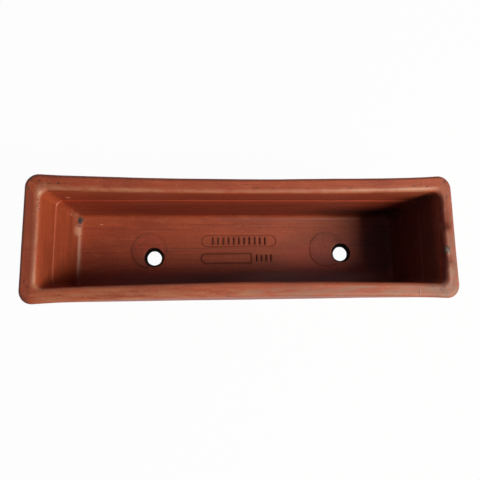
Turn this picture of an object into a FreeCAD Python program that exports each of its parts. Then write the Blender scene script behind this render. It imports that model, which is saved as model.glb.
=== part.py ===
"""Window box planter: a long, narrow trough of fired clay, open at the top.

Millimetres. X runs along the trough, -Y is its front, +Z is up. The origin is the centre of the
footprint, on the surface that the two foot bars stand on.

The real trough is a single pressed piece of clay. Here each of its portions is a solid of its own:
the four sides of the rim band, the four walls, the floor slab, the two foot bars, and the two
pressed marks on the floor. Neighbours meet face to face, and the corners are mitred.
"""
import FreeCAD
import Part
import math
import os

# Overall size, over the rim
length = 400.0
width = 116.0
foot_height = 4.0
floor_thickness = 12.0
inside_depth = 106.0

# Rim band: the thicker strip round the top
rim_width = 14.2
rim_depth = 38.8
outer_corner = 12.0
outer_round = 3.0
inner_round = 4.0
band_step = 3.0
band_lip_round = 1.5
outer_draft = 0.02
front_bow = 3.1
back_bow = 3.05

# Walls below the band
wall_draft = 0.035
base_round = 3.0

# Inside of the trough: two small ledges, and a cove round the floor
inner_corner = 7.0
inner_draft = 0.01
ledge_width = 1.0
lower_ledge_depth = 68.0
lower_ledge_width = 0.4
cove = 6.0

# Floor slab, let into the walls' inner feet
slab_land = 1.0
slab_corner = 3.0

# Drain holes, punched beside the middle of two ringed discs
hole_radius = 9.2
hole_lip = 2.6
disc_spacing = 206.4
disc_radius = 20.0
ring_width = 1.2
ring_height = 0.4
left_hole_along = 4.8
left_hole_across = -7.4
right_hole_along = 18.6
right_hole_across = -3.9

# Foot bars across the underside
foot_width = 28.0
foot_inset = 40.0
foot_margin = 8.0
foot_corner = 5.0
foot_round = 1.0

# Pressed marks: raised outlines with plain bars
ridge_width = 1.3
ridge_height = 0.7
upper_mark_length = 88.0
upper_mark_width = 14.2
upper_mark_x = 1.0
upper_mark_y = 10.9
lower_mark_length = 60.0
lower_mark_width = 12.8
lower_mark_x = -14.2
lower_mark_y = -9.3
bar_width = 1.6
bar_pitch = 5.6
upper_bar_count = 11
upper_bar_length = 7.0
lower_bar_count = 4
lower_bar_length = 8.0
lower_bar_gap = 6.0

# Sharp edges are matched to this, and a block that only cuts stands this far clear of the trough
match = 0.01
spare = 20.0


def limited(radius, room):
    """Radius of a round, held to a little under half of the material that it is cut in."""
    return min(radius, 0.45 * room)


# Heights of the main levels
height = foot_height + floor_thickness + inside_depth
band_bottom = height - rim_depth
lower_ledge = height - lower_ledge_depth
floor_top = foot_height + floor_thickness

# How far each level's outline lies inside the widest outline, which is at the foot of the rim's
# outer round, so the outline of the square edge that the round starts from is a little outside it
rim_outer_round = limited(outer_round, rim_width)
rim_inner_round = limited(inner_round, rim_width)
top_inset = -rim_outer_round * outer_draft
band_inset = (rim_depth - rim_outer_round) * outer_draft
wall_inset = band_inset + band_step
base_inset = wall_inset + (band_bottom - foot_height) * wall_draft
ledge_inset = rim_width + rim_depth * inner_draft
lower_ledge_inset = ledge_inset + ledge_width + (lower_ledge_depth - rim_depth) * inner_draft
floor_inset = lower_ledge_inset + lower_ledge_width + (inside_depth - lower_ledge_depth) * inner_draft
cove_radius = limited(cove, 2 * inner_corner)
slab_inset = floor_inset + cove_radius + slab_land


def rounded_corner(half_x, half_y, radius, bow):
    """Centre, end on the long side and middle of the corner arc in the +X +Y quadrant."""
    chord = half_x - radius
    if bow == 0:
        return (chord, half_y - radius), (chord, half_y)
    side_radius = (chord ** 2 + bow ** 2) / (2 * bow)
    side_centre = half_y - bow + side_radius
    reach = side_radius + radius
    centre_y = side_centre - math.sqrt(reach ** 2 - chord ** 2)
    share = side_radius / reach
    return (chord, centre_y), (chord * share, side_centre + (centre_y - side_centre) * share)


def corner_arc(half_x, centre, side_end, radius, sign_x, sign_y, height_z):
    """Arc of one corner, from its end on the short side to its end on the long side."""
    towards = (side_end[0] - centre[0], side_end[1] - centre[1])
    middle = (towards[0] + radius, towards[1])
    size = math.hypot(*middle)
    points = [
        (half_x, centre[1]),
        (centre[0] + middle[0] * radius / size, centre[1] + middle[1] * radius / size),
        side_end,
    ]
    return [FreeCAD.Vector(sign_x * x, sign_y * y, height_z) for x, y in points]


def long_side(start, end, middle_y):
    """Long side of an outline: an arc where it bows, and a straight edge where it doesn't."""
    if abs(start.y - middle_y) < match:
        return Part.makeLine(start, end)
    return Part.Arc(start, FreeCAD.Vector(0, middle_y, start.z), end).toShape()


def outline(inset, z, radius, bows=(0, 0)):
    """Closed outline at height z, with rounded corners and long sides that bow inwards."""
    half_x = length / 2 - inset
    half_y = width / 2 - inset
    arcs = {}
    for name, sign_x, sign_y, bow in (
        ("front_right", 1, -1, bows[0]),
        ("back_right", 1, 1, bows[1]),
        ("back_left", -1, 1, bows[1]),
        ("front_left", -1, -1, bows[0]),
    ):
        centre, side_end = rounded_corner(half_x, half_y, radius, bow)
        arcs[name] = corner_arc(half_x, centre, side_end, radius, sign_x, sign_y, z)

    def arc(points):
        return Part.Arc(*points).toShape()

    edges = [
        long_side(arcs["front_left"][2], arcs["front_right"][2], -half_y + bows[0]),
        arc(arcs["front_right"][::-1]),
        Part.makeLine(arcs["front_right"][0], arcs["back_right"][0]),
        arc(arcs["back_right"]),
        long_side(arcs["back_right"][2], arcs["back_left"][2], half_y - bows[1]),
        arc(arcs["back_left"][::-1]),
        Part.makeLine(arcs["back_left"][0], arcs["front_left"][0]),
        arc(arcs["front_left"]),
    ]
    return Part.Wire(edges)


def tapered(lower, upper):
    """Closed solid between two outlines."""
    return Part.makeLoft([lower, upper], True, True)


def edges_at(shape, z, half_x=math.inf, half_y=math.inf):
    """Level edges of a shape at height z, within half_x and half_y of the middle."""
    found = []
    for edge in shape.Edges:
        box = edge.BoundBox
        level = abs(box.ZMin - z) < match and abs(box.ZMax - z) < match
        inside = max(box.XMax, -box.XMin) < half_x and max(box.YMax, -box.YMin) < half_y
        if level and inside:
            found.append(edge)
    return found


def rim_band():
    """Whole ring of the rim, with its rounded top edges and the small round of its lower lip."""
    bows = (front_bow, back_bow)
    band = tapered(
        outline(band_inset, band_bottom, outer_corner),
        outline(top_inset, height, outer_corner, bows),
    )
    band = band.makeFillet(rim_outer_round, edges_at(band, height))
    band = band.makeFillet(limited(band_lip_round, 2 * band_step), edges_at(band, band_bottom))
    mouth = tapered(
        outline(ledge_inset, band_bottom, inner_corner),
        outline(rim_width, height, inner_corner, bows),
    )
    ring = band.cut(mouth)
    middle_of_rim = rim_width / 2
    inner_edges = edges_at(ring, height, length / 2 - middle_of_rim, width / 2 - middle_of_rim)
    return ring.makeFillet(rim_inner_round, inner_edges)


def lower_trough():
    """Walls and base below the rim band, hollow above the floor."""
    outside = tapered(
        outline(base_inset, foot_height, outer_corner),
        outline(wall_inset, band_bottom, outer_corner),
    )
    rounded_base = limited(base_round, floor_thickness)
    outside = outside.makeFillet(rounded_base, edges_at(outside, foot_height))
    middle = tapered(
        outline(lower_ledge_inset, lower_ledge, inner_corner),
        outline(ledge_inset + ledge_width, band_bottom, inner_corner),
    )
    bottom = tapered(
        outline(floor_inset, floor_top, inner_corner),
        outline(lower_ledge_inset + lower_ledge_width, lower_ledge, inner_corner),
    )
    bottom = bottom.makeFillet(cove_radius, edges_at(bottom, floor_top))
    return outside.cut(middle).cut(bottom)


def mitre_blocks():
    """A tall block over each side of the trough, parted from its neighbours on the diagonals."""
    half_x = length / 2
    half_y = width / 2
    left_tip = (half_y - half_x, 0)
    right_tip = (half_x - half_y, 0)
    front_left = (-half_x - spare, -half_y - spare)
    front_right = (half_x + spare, -half_y - spare)
    back_right = (half_x + spare, half_y + spare)
    back_left = (-half_x - spare, half_y + spare)
    plans = {
        "front": [front_left, front_right, right_tip, left_tip],
        "back": [back_right, back_left, left_tip, right_tip],
        "left": [back_left, front_left, left_tip],
        "right": [front_right, back_right, right_tip],
    }
    blocks = {}
    for side, plan in plans.items():
        points = [FreeCAD.Vector(x, y, 0) for x, y in plan + plan[:1]]
        face = Part.Face(Part.makePolygon(points))
        blocks[side] = face.extrude(FreeCAD.Vector(0, 0, height + spare))
    return blocks


def disc_centres():
    """Plan positions of the two ringed discs, left then right."""
    return [(-disc_spacing / 2, 0), (disc_spacing / 2, 0)]


def hole_centres():
    """Plan positions of the two drain holes, left then right."""
    left_disc, right_disc = disc_centres()
    return [
        (left_disc[0] + left_hole_along, left_disc[1] + left_hole_across),
        (right_disc[0] + right_hole_along, right_disc[1] + right_hole_across),
    ]


def cylinder(centre, radius, low, high):
    """Upright cylinder between two heights."""
    base = FreeCAD.Vector(centre[0], centre[1], low)
    return Part.makeCylinder(radius, high - low, base)


def floor_slab_block():
    """Plain block that the floor slab is made from, which is also its recess in the walls."""
    face = Part.Face(outline(slab_inset, foot_height, slab_corner))
    return face.extrude(FreeCAD.Vector(0, 0, floor_thickness))


def floor():
    """Floor slab with its two ringed discs and two drain holes with rounded lips."""
    slab = floor_slab_block()
    for centre in hole_centres():
        slab = slab.cut(cylinder(centre, hole_radius, foot_height, floor_top))
    circles = [edge for edge in edges_at(slab, floor_top) if edge.Curve.TypeId == "Part::GeomCircle"]
    lips = [edge for edge in circles if abs(edge.Curve.Radius - hole_radius) < match]
    lip = limited(hole_lip, floor_thickness)
    slab = slab.makeFillet(lip, lips)
    rooted = floor_top - ring_height
    for centre in disc_centres():
        ring = cylinder(centre, disc_radius, rooted, floor_top + ring_height)
        ring = ring.cut(cylinder(centre, disc_radius - ring_width, rooted, floor_top + ring_height))
        for hole in hole_centres():
            ring_gap = hole_radius + lip + ring_width
            ring = ring.cut(cylinder(hole, ring_gap, rooted, floor_top + ring_height))
        slab = slab.fuse(ring)
    return slab.removeSplitter()


def foot_bar(side):
    """Foot bar across the underside, near the left (-1) or right (+1) end."""
    bar_length = width - 2 * base_inset - 2 * foot_margin
    centre_x = side * (length / 2 - foot_inset)
    corner = FreeCAD.Vector(centre_x - foot_width / 2, -bar_length / 2, 0)
    bar = Part.makeBox(foot_width, bar_length, foot_height, corner)
    upright = [edge for edge in bar.Edges if edge.BoundBox.ZLength > foot_height / 2]
    bar = bar.makeFillet(limited(foot_corner, foot_width), upright)
    return bar.makeFillet(limited(foot_round, foot_height), edges_at(bar, 0))


def plan_block(centre, size, end_radii, low, high):
    """Upright block with a rounded left and right end in plan, one radius for each end."""
    half_x = size[0] / 2
    half_y = size[1] / 2
    block = Part.makeBox(
        size[0], size[1], high - low,
        FreeCAD.Vector(centre[0] - half_x, centre[1] - half_y, low),
    )
    for sign, radius in zip((-1, 1), end_radii):
        if radius > 0:
            ends = [edge for edge in block.Edges if edge.BoundBox.ZLength > (high - low) / 2
                    and abs(edge.BoundBox.XMin - centre[0] - sign * half_x) < match]
            block = block.makeFillet(radius, ends)
    return block


def ridge_outline(centre, size, end_radii):
    """Raised outline that stands on the floor."""
    low = floor_top
    high = floor_top + ridge_height
    inner_size = (size[0] - 2 * ridge_width, size[1] - 2 * ridge_width)
    inner_radii = [max(radius - ridge_width, 0) for radius in end_radii]
    outer = plan_block(centre, size, end_radii, low, high)
    return outer.cut(plan_block(centre, inner_size, inner_radii, low, high))


def bar_row(centre, count, bar_length):
    """Row of plain raised bars, evenly spaced along X."""
    bars = []
    for index in range(count):
        x = centre[0] + (index - (count - 1) / 2) * bar_pitch
        corner = FreeCAD.Vector(x - bar_width / 2, centre[1] - bar_length / 2, floor_top)
        bars.append(Part.makeBox(bar_width, bar_length, ridge_height, corner))
    return bars


def upper_mark():
    """Long outline with two round ends and a row of bars in it."""
    centre = (upper_mark_x, upper_mark_y)
    end_radius = limited(upper_mark_width, upper_mark_width)
    size = (upper_mark_length, upper_mark_width)
    ring = ridge_outline(centre, size, (end_radius, end_radius))
    return Part.makeCompound([ring] + bar_row(centre, upper_bar_count, upper_bar_length))


def lower_mark():
    """Outline with one round end and one square end, and a short row of bars after it."""
    end_radius = limited(lower_mark_width, lower_mark_width)
    size = (lower_mark_length, lower_mark_width)
    ring = ridge_outline((lower_mark_x, lower_mark_y), size, (end_radius, 0))
    half_row = (lower_bar_count - 1) / 2 * bar_pitch
    row_x = lower_mark_x + lower_mark_length / 2 + lower_bar_gap + half_row
    bars = bar_row((row_x, lower_mark_y), lower_bar_count, lower_bar_length)
    return Part.makeCompound([ring] + bars)


def portions():
    """Every portion of the trough by name."""
    ring = rim_band()
    walls = lower_trough().cut(floor_slab_block())
    named = {}
    for side, block in mitre_blocks().items():
        named[side + "_rim"] = ring.common(block)
        named[side + "_wall"] = walls.common(block)
    named["floor"] = floor()
    named["left_foot_bar"] = foot_bar(-1)
    named["right_foot_bar"] = foot_bar(1)
    named["upper_floor_mark"] = upper_mark()
    named["lower_floor_mark"] = lower_mark()
    return named


os.makedirs("parts", exist_ok=True)
for node, shape in portions().items():
    shape.exportStep("parts/" + node + ".step")
    print(node, len(shape.Solids), "solids", round(shape.Volume), "mm3", shape.isValid())
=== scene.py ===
"""Looks of the window box planter: one long, narrow trough of pressed and fired red clay.

Sizes are millimetres unless a name says otherwise, and become metres where a mesh is made. X runs
along the trough, -Y is its front, +Z is up, and the origin is where the trough stands.
"""

import logging
import math
from dataclasses import dataclass, field
from enum import Enum
from typing import Any, Callable

import bpy
import bmesh
import numpy as np
from mathutils import Matrix, Vector, noise


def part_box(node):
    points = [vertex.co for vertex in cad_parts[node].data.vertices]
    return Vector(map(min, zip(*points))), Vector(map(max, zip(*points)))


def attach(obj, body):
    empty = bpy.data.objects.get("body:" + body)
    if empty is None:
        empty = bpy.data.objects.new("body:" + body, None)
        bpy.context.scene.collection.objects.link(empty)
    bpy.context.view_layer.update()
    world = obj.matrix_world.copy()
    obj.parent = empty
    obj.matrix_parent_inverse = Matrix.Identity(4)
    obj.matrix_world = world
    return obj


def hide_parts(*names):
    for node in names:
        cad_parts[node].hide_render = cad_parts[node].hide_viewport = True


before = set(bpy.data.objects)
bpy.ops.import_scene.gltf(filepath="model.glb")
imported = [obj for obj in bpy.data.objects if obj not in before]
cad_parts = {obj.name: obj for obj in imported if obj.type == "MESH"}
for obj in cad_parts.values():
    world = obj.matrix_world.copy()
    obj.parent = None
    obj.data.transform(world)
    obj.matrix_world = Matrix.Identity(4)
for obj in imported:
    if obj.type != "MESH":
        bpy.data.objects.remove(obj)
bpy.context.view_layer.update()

MM = 0.001
ROOT = "root"
# Attribute of use: soiling and burnishing, and also painted shade and painted highlight
USE_AND_LIGHT = "use"
log = logging.getLogger("window_box")

# Heights closer than this count as one
LEVEL_MM = 0.01
# A straight side is drawn as an arc that bows by this much
LEAST_BOW_MM = 1e-4
# Widest angle between two points of a rounded corner, and the fewest steps round one
ROUND_DEGREES = 12
ROUND_STEPS = 3

# Middles of the two punch discs on the floor: x and y
LEFT_DISC = (-102.4, 0.4)
RIGHT_DISC = (104.1, 0.6)

# Two sizes that belong together, such as a start and a reach, or three, such as x, y and z
Pair = tuple[float, float]
Triple = tuple[float, float, float]
Face = tuple[int, ...]
Socket = bpy.types.NodeSocket
Tree = bpy.types.NodeTree


def corners_mm(*nodes: str) -> tuple[Vector, Vector]:
    """Lowest and highest corner of some portions of the trough together.

    Args:
        nodes: names of the portions.

    Returns:
        The two corners, in millimetres.
    """
    boxes = [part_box(node) for node in nodes]
    low = Vector([min(box[0][axis] for box in boxes) for axis in range(3)])
    high = Vector([max(box[1][axis] for box in boxes) for axis in range(3)])
    return low / MM, high / MM


def linear(hex_colour: str) -> tuple[float, float, float, float]:
    """Turn an sRGB hex colour such as "#A0522D" into the linear colour that a shader takes.

    Args:
        hex_colour: the colour, with its leading hash.

    Returns:
        Linear red, green and blue, and an alpha of 1.
    """
    values = [int(hex_colour[start:start + 2], 16) / 255 for start in (1, 3, 5)]
    red, green, blue = [
        value / 12.92 if value <= 0.04045 else ((value + 0.055) / 1.055) ** 2.4 for value in values
    ]
    return red, green, blue, 1.0


def ramp(values: np.ndarray | float, start: float, reach: float) -> np.ndarray | float:
    """Rise evenly from 0 to 1, and stay level before and after.

    Args:
        values: where the ramp is read.
        start: the value at which it starts to rise.
        reach: how much further on it gets to 1.

    Returns:
        The ramp's height at each value.
    """
    return np.clip((values - start) / reach, 0, 1)


def add_node(
    tree: Tree, kind: str, inputs: dict[str | int, Any] | None = None, **settings: Any
) -> bpy.types.Node:
    """Add a shader node with its settings, its input values and the links into it.

    Args:
        tree: the node tree that gets the node.
        kind: the node's type name, without its "ShaderNode" prefix.
        inputs: by input name or number, a value, a socket, or a node whose first output is meant.
        settings: the node's own properties by name.

    Returns:
        The new node.
    """
    node = tree.nodes.new("ShaderNode" + kind)
    for name, value in settings.items():
        setattr(node, name, value)
    for key, value in (inputs or {}).items():
        if isinstance(value, bpy.types.Node):
            value = value.outputs[0]
        if isinstance(value, Socket):
            tree.links.new(value, node.inputs[key])
        else:
            node.inputs[key].default_value = value
    return node


def fresh_tree(owner: bpy.types.Material | bpy.types.World) -> Tree:
    """Give a material or a world an empty node tree.

    Args:
        owner: the material or the world.

    Returns:
        The tree.
    """
    owner.use_nodes = True
    owner.node_tree.nodes.clear()
    return owner.node_tree


def blotches(tree: Tree, place: Socket, size_mm: Triple, detail: float, roughness: float) -> Socket:
    """Draw noise whose blotches have a size of their own along each axis.

    Args:
        tree: the material's nodes.
        place: the point on the object.
        size_mm: the blotches' length along each axis.
        detail: how many finer layers are laid over them.
        roughness: how strong the finer layers are.

    Returns:
        The pattern, from 0 to 1.
    """
    spread = add_node(tree, "Mapping", {"Vector": place, "Scale": [1 / (size * MM) for size in size_mm]})
    return add_node(tree, "TexNoise", {
        "Vector": spread, "Scale": 1.0, "Detail": detail, "Roughness": roughness,
    }).outputs["Fac"]


def mesh_object(
    name: str, points_mm: np.ndarray, faces: list[Face], use: list[float] | np.ndarray | None = None
) -> bpy.types.Object:
    """Make a smooth, closed mesh object with its faces turned outwards.

    Args:
        name: the object's name.
        points_mm: the vertices, one row each, in millimetres.
        faces: vertex numbers of each face.
        use: how use has changed each vertex, from -1 for soiling and painted shade to 1 for burnishing
            and painted highlight.

    Returns:
        The object, linked into the scene.
    """
    mesh = bpy.data.meshes.new(name)
    mesh.from_pydata((points_mm * MM).tolist(), [], faces)
    shape = bmesh.new()
    shape.from_mesh(mesh)
    bmesh.ops.recalc_face_normals(shape, faces=shape.faces)
    for face in shape.faces:
        face.smooth = True
    shape.to_mesh(mesh)
    shape.free()
    if use is not None:
        mesh.attributes.new(USE_AND_LIGHT, "FLOAT", "POINT").data.foreach_set("value", use)
    made = bpy.data.objects.new(name, mesh)
    bpy.context.scene.collection.objects.link(made)
    return made


@dataclass(frozen=True, kw_only=True)
class ClayPiece:
    """One visible piece of the trough, with its name and the portions that it stands for."""

    name: str
    nodes: tuple[str, ...] = ()

    def build(self) -> bpy.types.Object:
        """Make the piece's mesh, which each kind of piece does in its own way."""
        raise NotImplementedError

    def dress(self, clay: bpy.types.Material) -> bpy.types.Object:
        """Build the piece, give it its finish and let it ride with the trough.

        Args:
            clay: the finish.

        Returns:
            The piece.
        """
        piece = self.build()
        piece.data.materials.append(clay)
        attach(piece, ROOT)
        if self.nodes:
            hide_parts(*self.nodes)
        stands_for = ", ".join(self.nodes) or "no node"
        log.info("%s: %d faces, for %s", self.name, len(piece.data.polygons), stands_for)
        return piece


# ---- The uneven surface that hand-finishing, drying and firing leave ----


@dataclass(frozen=True)
class Lump:
    """A local swelling of the clay, or a dent or chip where its height is negative."""

    place: Triple
    reach: Triple
    height: float


@dataclass(frozen=True)
class ClaySurface:
    """How far the clay stands off its ideal shape at each point, in millimetres."""

    slump_wavelength: float = 70.0
    slump: float = 0.35
    dimple_wavelength: float = 14.0
    dimple: float = 0.07
    lumps: tuple[Lump, ...] = ()
    lump_fall: float = 1.5

    def unevenness(self, points: np.ndarray) -> np.ndarray:
        """Height of the surface over its ideal shape.

        Args:
            points: one row of x, y and z each.

        Returns:
            The distance outwards at each point.
        """
        rises = np.array([
            self.slump * noise.noise(Vector(point) / self.slump_wavelength)
            + self.dimple * noise.noise(Vector(point) / self.dimple_wavelength)
            for point in points.tolist()
        ])
        for lump in self.lumps:
            apart = (points - np.array(lump.place)) / np.array(lump.reach)
            rises += lump.height * np.exp(-(apart**2).sum(axis=1) ** self.lump_fall)
        return rises

    def roughen(self, piece: bpy.types.Object) -> None:
        """Move each vertex of a piece along its normal onto the uneven surface.

        Args:
            piece: a mesh object whose vertices are in place.
        """
        mesh = piece.data
        count = len(mesh.vertices)
        places = np.empty(count * 3, dtype=np.float32)
        normals = np.empty(count * 3, dtype=np.float32)
        mesh.vertices.foreach_get("co", places)
        mesh.vertex_normals.foreach_get("vector", normals)
        rises = self.unevenness(places.reshape(count, 3).astype(float) / MM) * MM
        places += (normals.reshape(count, 3) * rises[:, None]).ravel()
        mesh.vertices.foreach_set("co", places)
        mesh.update()


# ---- Rounded rectangles cut into matching cells, from which the body and the feet are made ----


@dataclass(frozen=True)
class Lattice:
    """How many cells a rounded rectangle has along it, across it and round each corner."""

    along: int
    across: int
    corner: int

    @property
    def columns(self) -> int:
        """Cells of the whole width of a cap."""
        return self.along + self.corner

    @property
    def rows(self) -> int:
        """Cells of the whole depth of a cap."""
        return self.across + self.corner

    def outline(
        self, half_x: float, half_y: float, radius: float, bows: Pair = (0.0, 0.0)
    ) -> np.ndarray:
        """Points round a rounded rectangle, anticlockwise from the left end of its front side.

        Args:
            half_x: half of its length.
            half_y: half of its width, at its corners.
            radius: radius of its corners.
            bows: how far the front and the back side bow inwards at their middle.

        Returns:
            One row of x and y for each point.
        """
        front_side, front_arc = self._side_and_arc(half_x, half_y, radius, bows[0])
        back_side, back_arc = self._side_and_arc(half_x, half_y, radius, bows[1])
        lower, leftwards = np.array([1, -1]), np.array([-1, 1])
        front_right, front_left = front_arc[::-1] * lower, front_arc * -1
        heights = np.linspace(front_right[-1, 1], back_arc[0, 1], self.across + 1)
        right = np.column_stack([np.full_like(heights, half_x), heights])
        left = right[::-1] * leftwards
        runs = [front_side * lower, front_right, right, back_arc,
                back_side[::-1], back_arc[::-1] * leftwards, left, front_left]
        return np.concatenate([run[:-1] for run in runs])

    def _side_and_arc(
        self, half_x: float, half_y: float, radius: float, bow: float
    ) -> tuple[np.ndarray, np.ndarray]:
        """One long side at positive y, and the corner arc at its right end.

        Args:
            half_x: half of the rectangle's length.
            half_y: half of its width, at its corners.
            radius: radius of its corners.
            bow: how far the side bows inwards at its middle.

        Returns:
            The side's points from left to right, and the arc's from the right end up to the side.
        """
        chord = half_x - radius
        bow = max(bow, LEAST_BOW_MM)
        side_radius = (chord**2 + bow**2) / (2 * bow)
        side_centre = half_y - bow + side_radius
        reach = side_radius + radius
        centre_y = side_centre - math.sqrt(reach**2 - chord**2)
        end_x = chord * side_radius / reach
        x = np.linspace(-end_x, end_x, self.along + 1)
        side = np.column_stack([x, side_centre - np.sqrt(side_radius**2 - x**2)])
        last = math.atan2(side[-1, 1] - centre_y, end_x - chord)
        angle = np.linspace(0, last, self.corner + 1)
        return side, np.column_stack([chord + radius * np.cos(angle), centre_y + radius * np.sin(angle)])

    def edge_cells(self) -> list[tuple[int, int]]:
        """List the cells of a cap's edge, in the order of an outline's points.

        Returns:
            Column and row of each.
        """
        first = self.corner // 2
        front = [(column, 0) for column in range(first, self.columns)]
        right = [(self.columns, row) for row in range(self.rows)]
        back = [(column, self.rows) for column in range(self.columns, 0, -1)]
        left = [(0, row) for row in range(self.rows, 0, -1)]
        return front + right + back + left + [(column, 0) for column in range(first)]

    def cap(self, outline: np.ndarray) -> np.ndarray:
        """Fill an outline with a grid whose edge is the outline.

        Args:
            outline: the points round it.

        Returns:
            x and y by column and row.
        """
        grid = np.zeros((self.columns + 1, self.rows + 1, 2))
        for (column, row), point in zip(self.edge_cells(), outline):
            grid[column, row] = point
        u = np.linspace(0, 1, self.columns + 1)[:, None, None]
        v = np.linspace(0, 1, self.rows + 1)[None, :, None]
        front, back = grid[:, :1], grid[:, -1:]
        left, right = grid[:1], grid[-1:]
        ends = (1 - u) * (1 - v) * grid[0, 0] + u * (1 - v) * grid[-1, 0]
        ends = ends + (1 - u) * v * grid[0, -1] + u * v * grid[-1, -1]
        return (1 - v) * front + v * back + (1 - u) * left + u * right - ends


@dataclass
class Draft:
    """A mesh in the making: its points, its faces, and how use, painted shade and painted highlight have
    changed each point.
    """

    points: list[Triple] = field(default_factory=list)
    faces: list[Face] = field(default_factory=list)
    use: list[float] = field(default_factory=list)

    def add_ring(self, outline: np.ndarray, level: float, use: float | np.ndarray = 0.0) -> np.ndarray:
        """Add points that lie at one height.

        Args:
            outline: one row of x and y for each point.
            level: their height.
            use: from -1 for soiling and painted shade to 1 where hands and tools have left burnishing,
                and painted highlight.

        Returns:
            The points' numbers.
        """
        first = len(self.points)
        self.points.extend((x, y, level) for x, y in outline.tolist())
        self.use.extend(np.broadcast_to(use, len(outline)).tolist())
        return np.arange(first, first + len(outline))

    def bridge(self, ring: np.ndarray, other: np.ndarray) -> None:
        """Join two closed rings of the same number of points with four-sided faces.

        Args:
            ring: the first ring's point numbers.
            other: the second ring's point numbers.
        """
        corners = ring, np.roll(ring, -1), np.roll(other, -1), other
        self.faces.extend(zip(*(numbers.tolist() for numbers in corners)))

    def stack(self, rings: list[np.ndarray]) -> None:
        """Join each ring of a row to the next one.

        Args:
            rings: the rings' point numbers, in order.
        """
        for ring, following in zip(rings, rings[1:]):
            self.bridge(ring, following)

    def close(
        self, lattice: Lattice, outline: np.ndarray, ring: np.ndarray, level: float,
        blocks: list[tuple[int, int, int]] | None = None,
    ) -> list[np.ndarray]:
        """Close a ring with a flat grid, and leave a square block of it open for each hole.

        Args:
            lattice: the lattice that the outline was made with.
            outline: the ring's places.
            ring: the ring's point numbers.
            level: the height of the cap.
            blocks: first column, first row and number of cells of each block that stays open.

        Returns:
            The point numbers round each open block, anticlockwise.
        """
        blocks = blocks or []
        grid = lattice.cap(outline)
        numbers = np.full(grid.shape[:2], -1)
        for (column, row), number in zip(lattice.edge_cells(), ring):
            numbers[column, row] = number
        buried = np.zeros_like(numbers, dtype=bool)
        skipped = np.zeros((lattice.columns, lattice.rows), dtype=bool)
        for column, row, cells in blocks:
            buried[column + 1:column + cells, row + 1:row + cells] = True
            skipped[column:column + cells, row:row + cells] = True
        new = (numbers < 0) & ~buried
        numbers[new] = self.add_ring(grid[new], level)
        for column, row in zip(*np.nonzero(~skipped)):
            cell = numbers[column:column + 2, row:row + 2]
            self.faces.append((int(cell[0, 0]), int(cell[1, 0]), int(cell[1, 1]), int(cell[0, 1])))
        return [
            np.concatenate([
                numbers[column:column + cells, row],
                numbers[column + cells, row:row + cells],
                numbers[column + cells:column:-1, row + cells],
                numbers[column, row + cells:row:-1],
            ])
            for column, row, cells in blocks
        ]


def rounded_section(corners: list[Triple], spacing: Callable[[float], float]) -> list[Pair]:
    """Walk round a section whose corners are rounded.

    Args:
        corners: inset, height and radius of each corner; the first and last are its plain ends.
        spacing: the longest step to take along a straight run, by height.

    Returns:
        Inset and height of each point.
    """
    points: list[Pair] = [corners[0][:2]]

    def straight_to(target: Vector) -> None:
        """Step along a straight run.

        Args:
            target: where it ends.
        """
        start = Vector(points[-1])
        steps = max(1, math.ceil((target - start).length / spacing((start.y + target.y) / 2)))
        for step in range(1, steps + 1):
            points.append(tuple(start.lerp(target, step / steps)))

    for before, corner, after in zip(corners, corners[1:], corners[2:]):
        middle, radius = Vector(corner[:2]), corner[2]
        back = (Vector(before[:2]) - middle).normalized()
        on = (Vector(after[:2]) - middle).normalized()
        half_angle = back.angle(on) / 2
        reach = radius / math.tan(half_angle)
        straight_to(middle + back * reach)
        centre = middle + (back + on).normalized() * (radius / math.sin(half_angle))
        start, end = middle + back * reach - centre, middle + on * reach - centre
        turn = start.angle_signed(end)
        steps = max(ROUND_STEPS, math.ceil(abs(turn) / math.radians(ROUND_DEGREES)))
        for step in range(1, steps + 1):
            spoke = start.copy()
            spoke.rotate(Matrix.Rotation(-turn * step / steps, 2))
            points.append(tuple(centre + spoke))
    straight_to(Vector(corners[-1][:2]))
    return points


# ---- The trough ----


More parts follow.
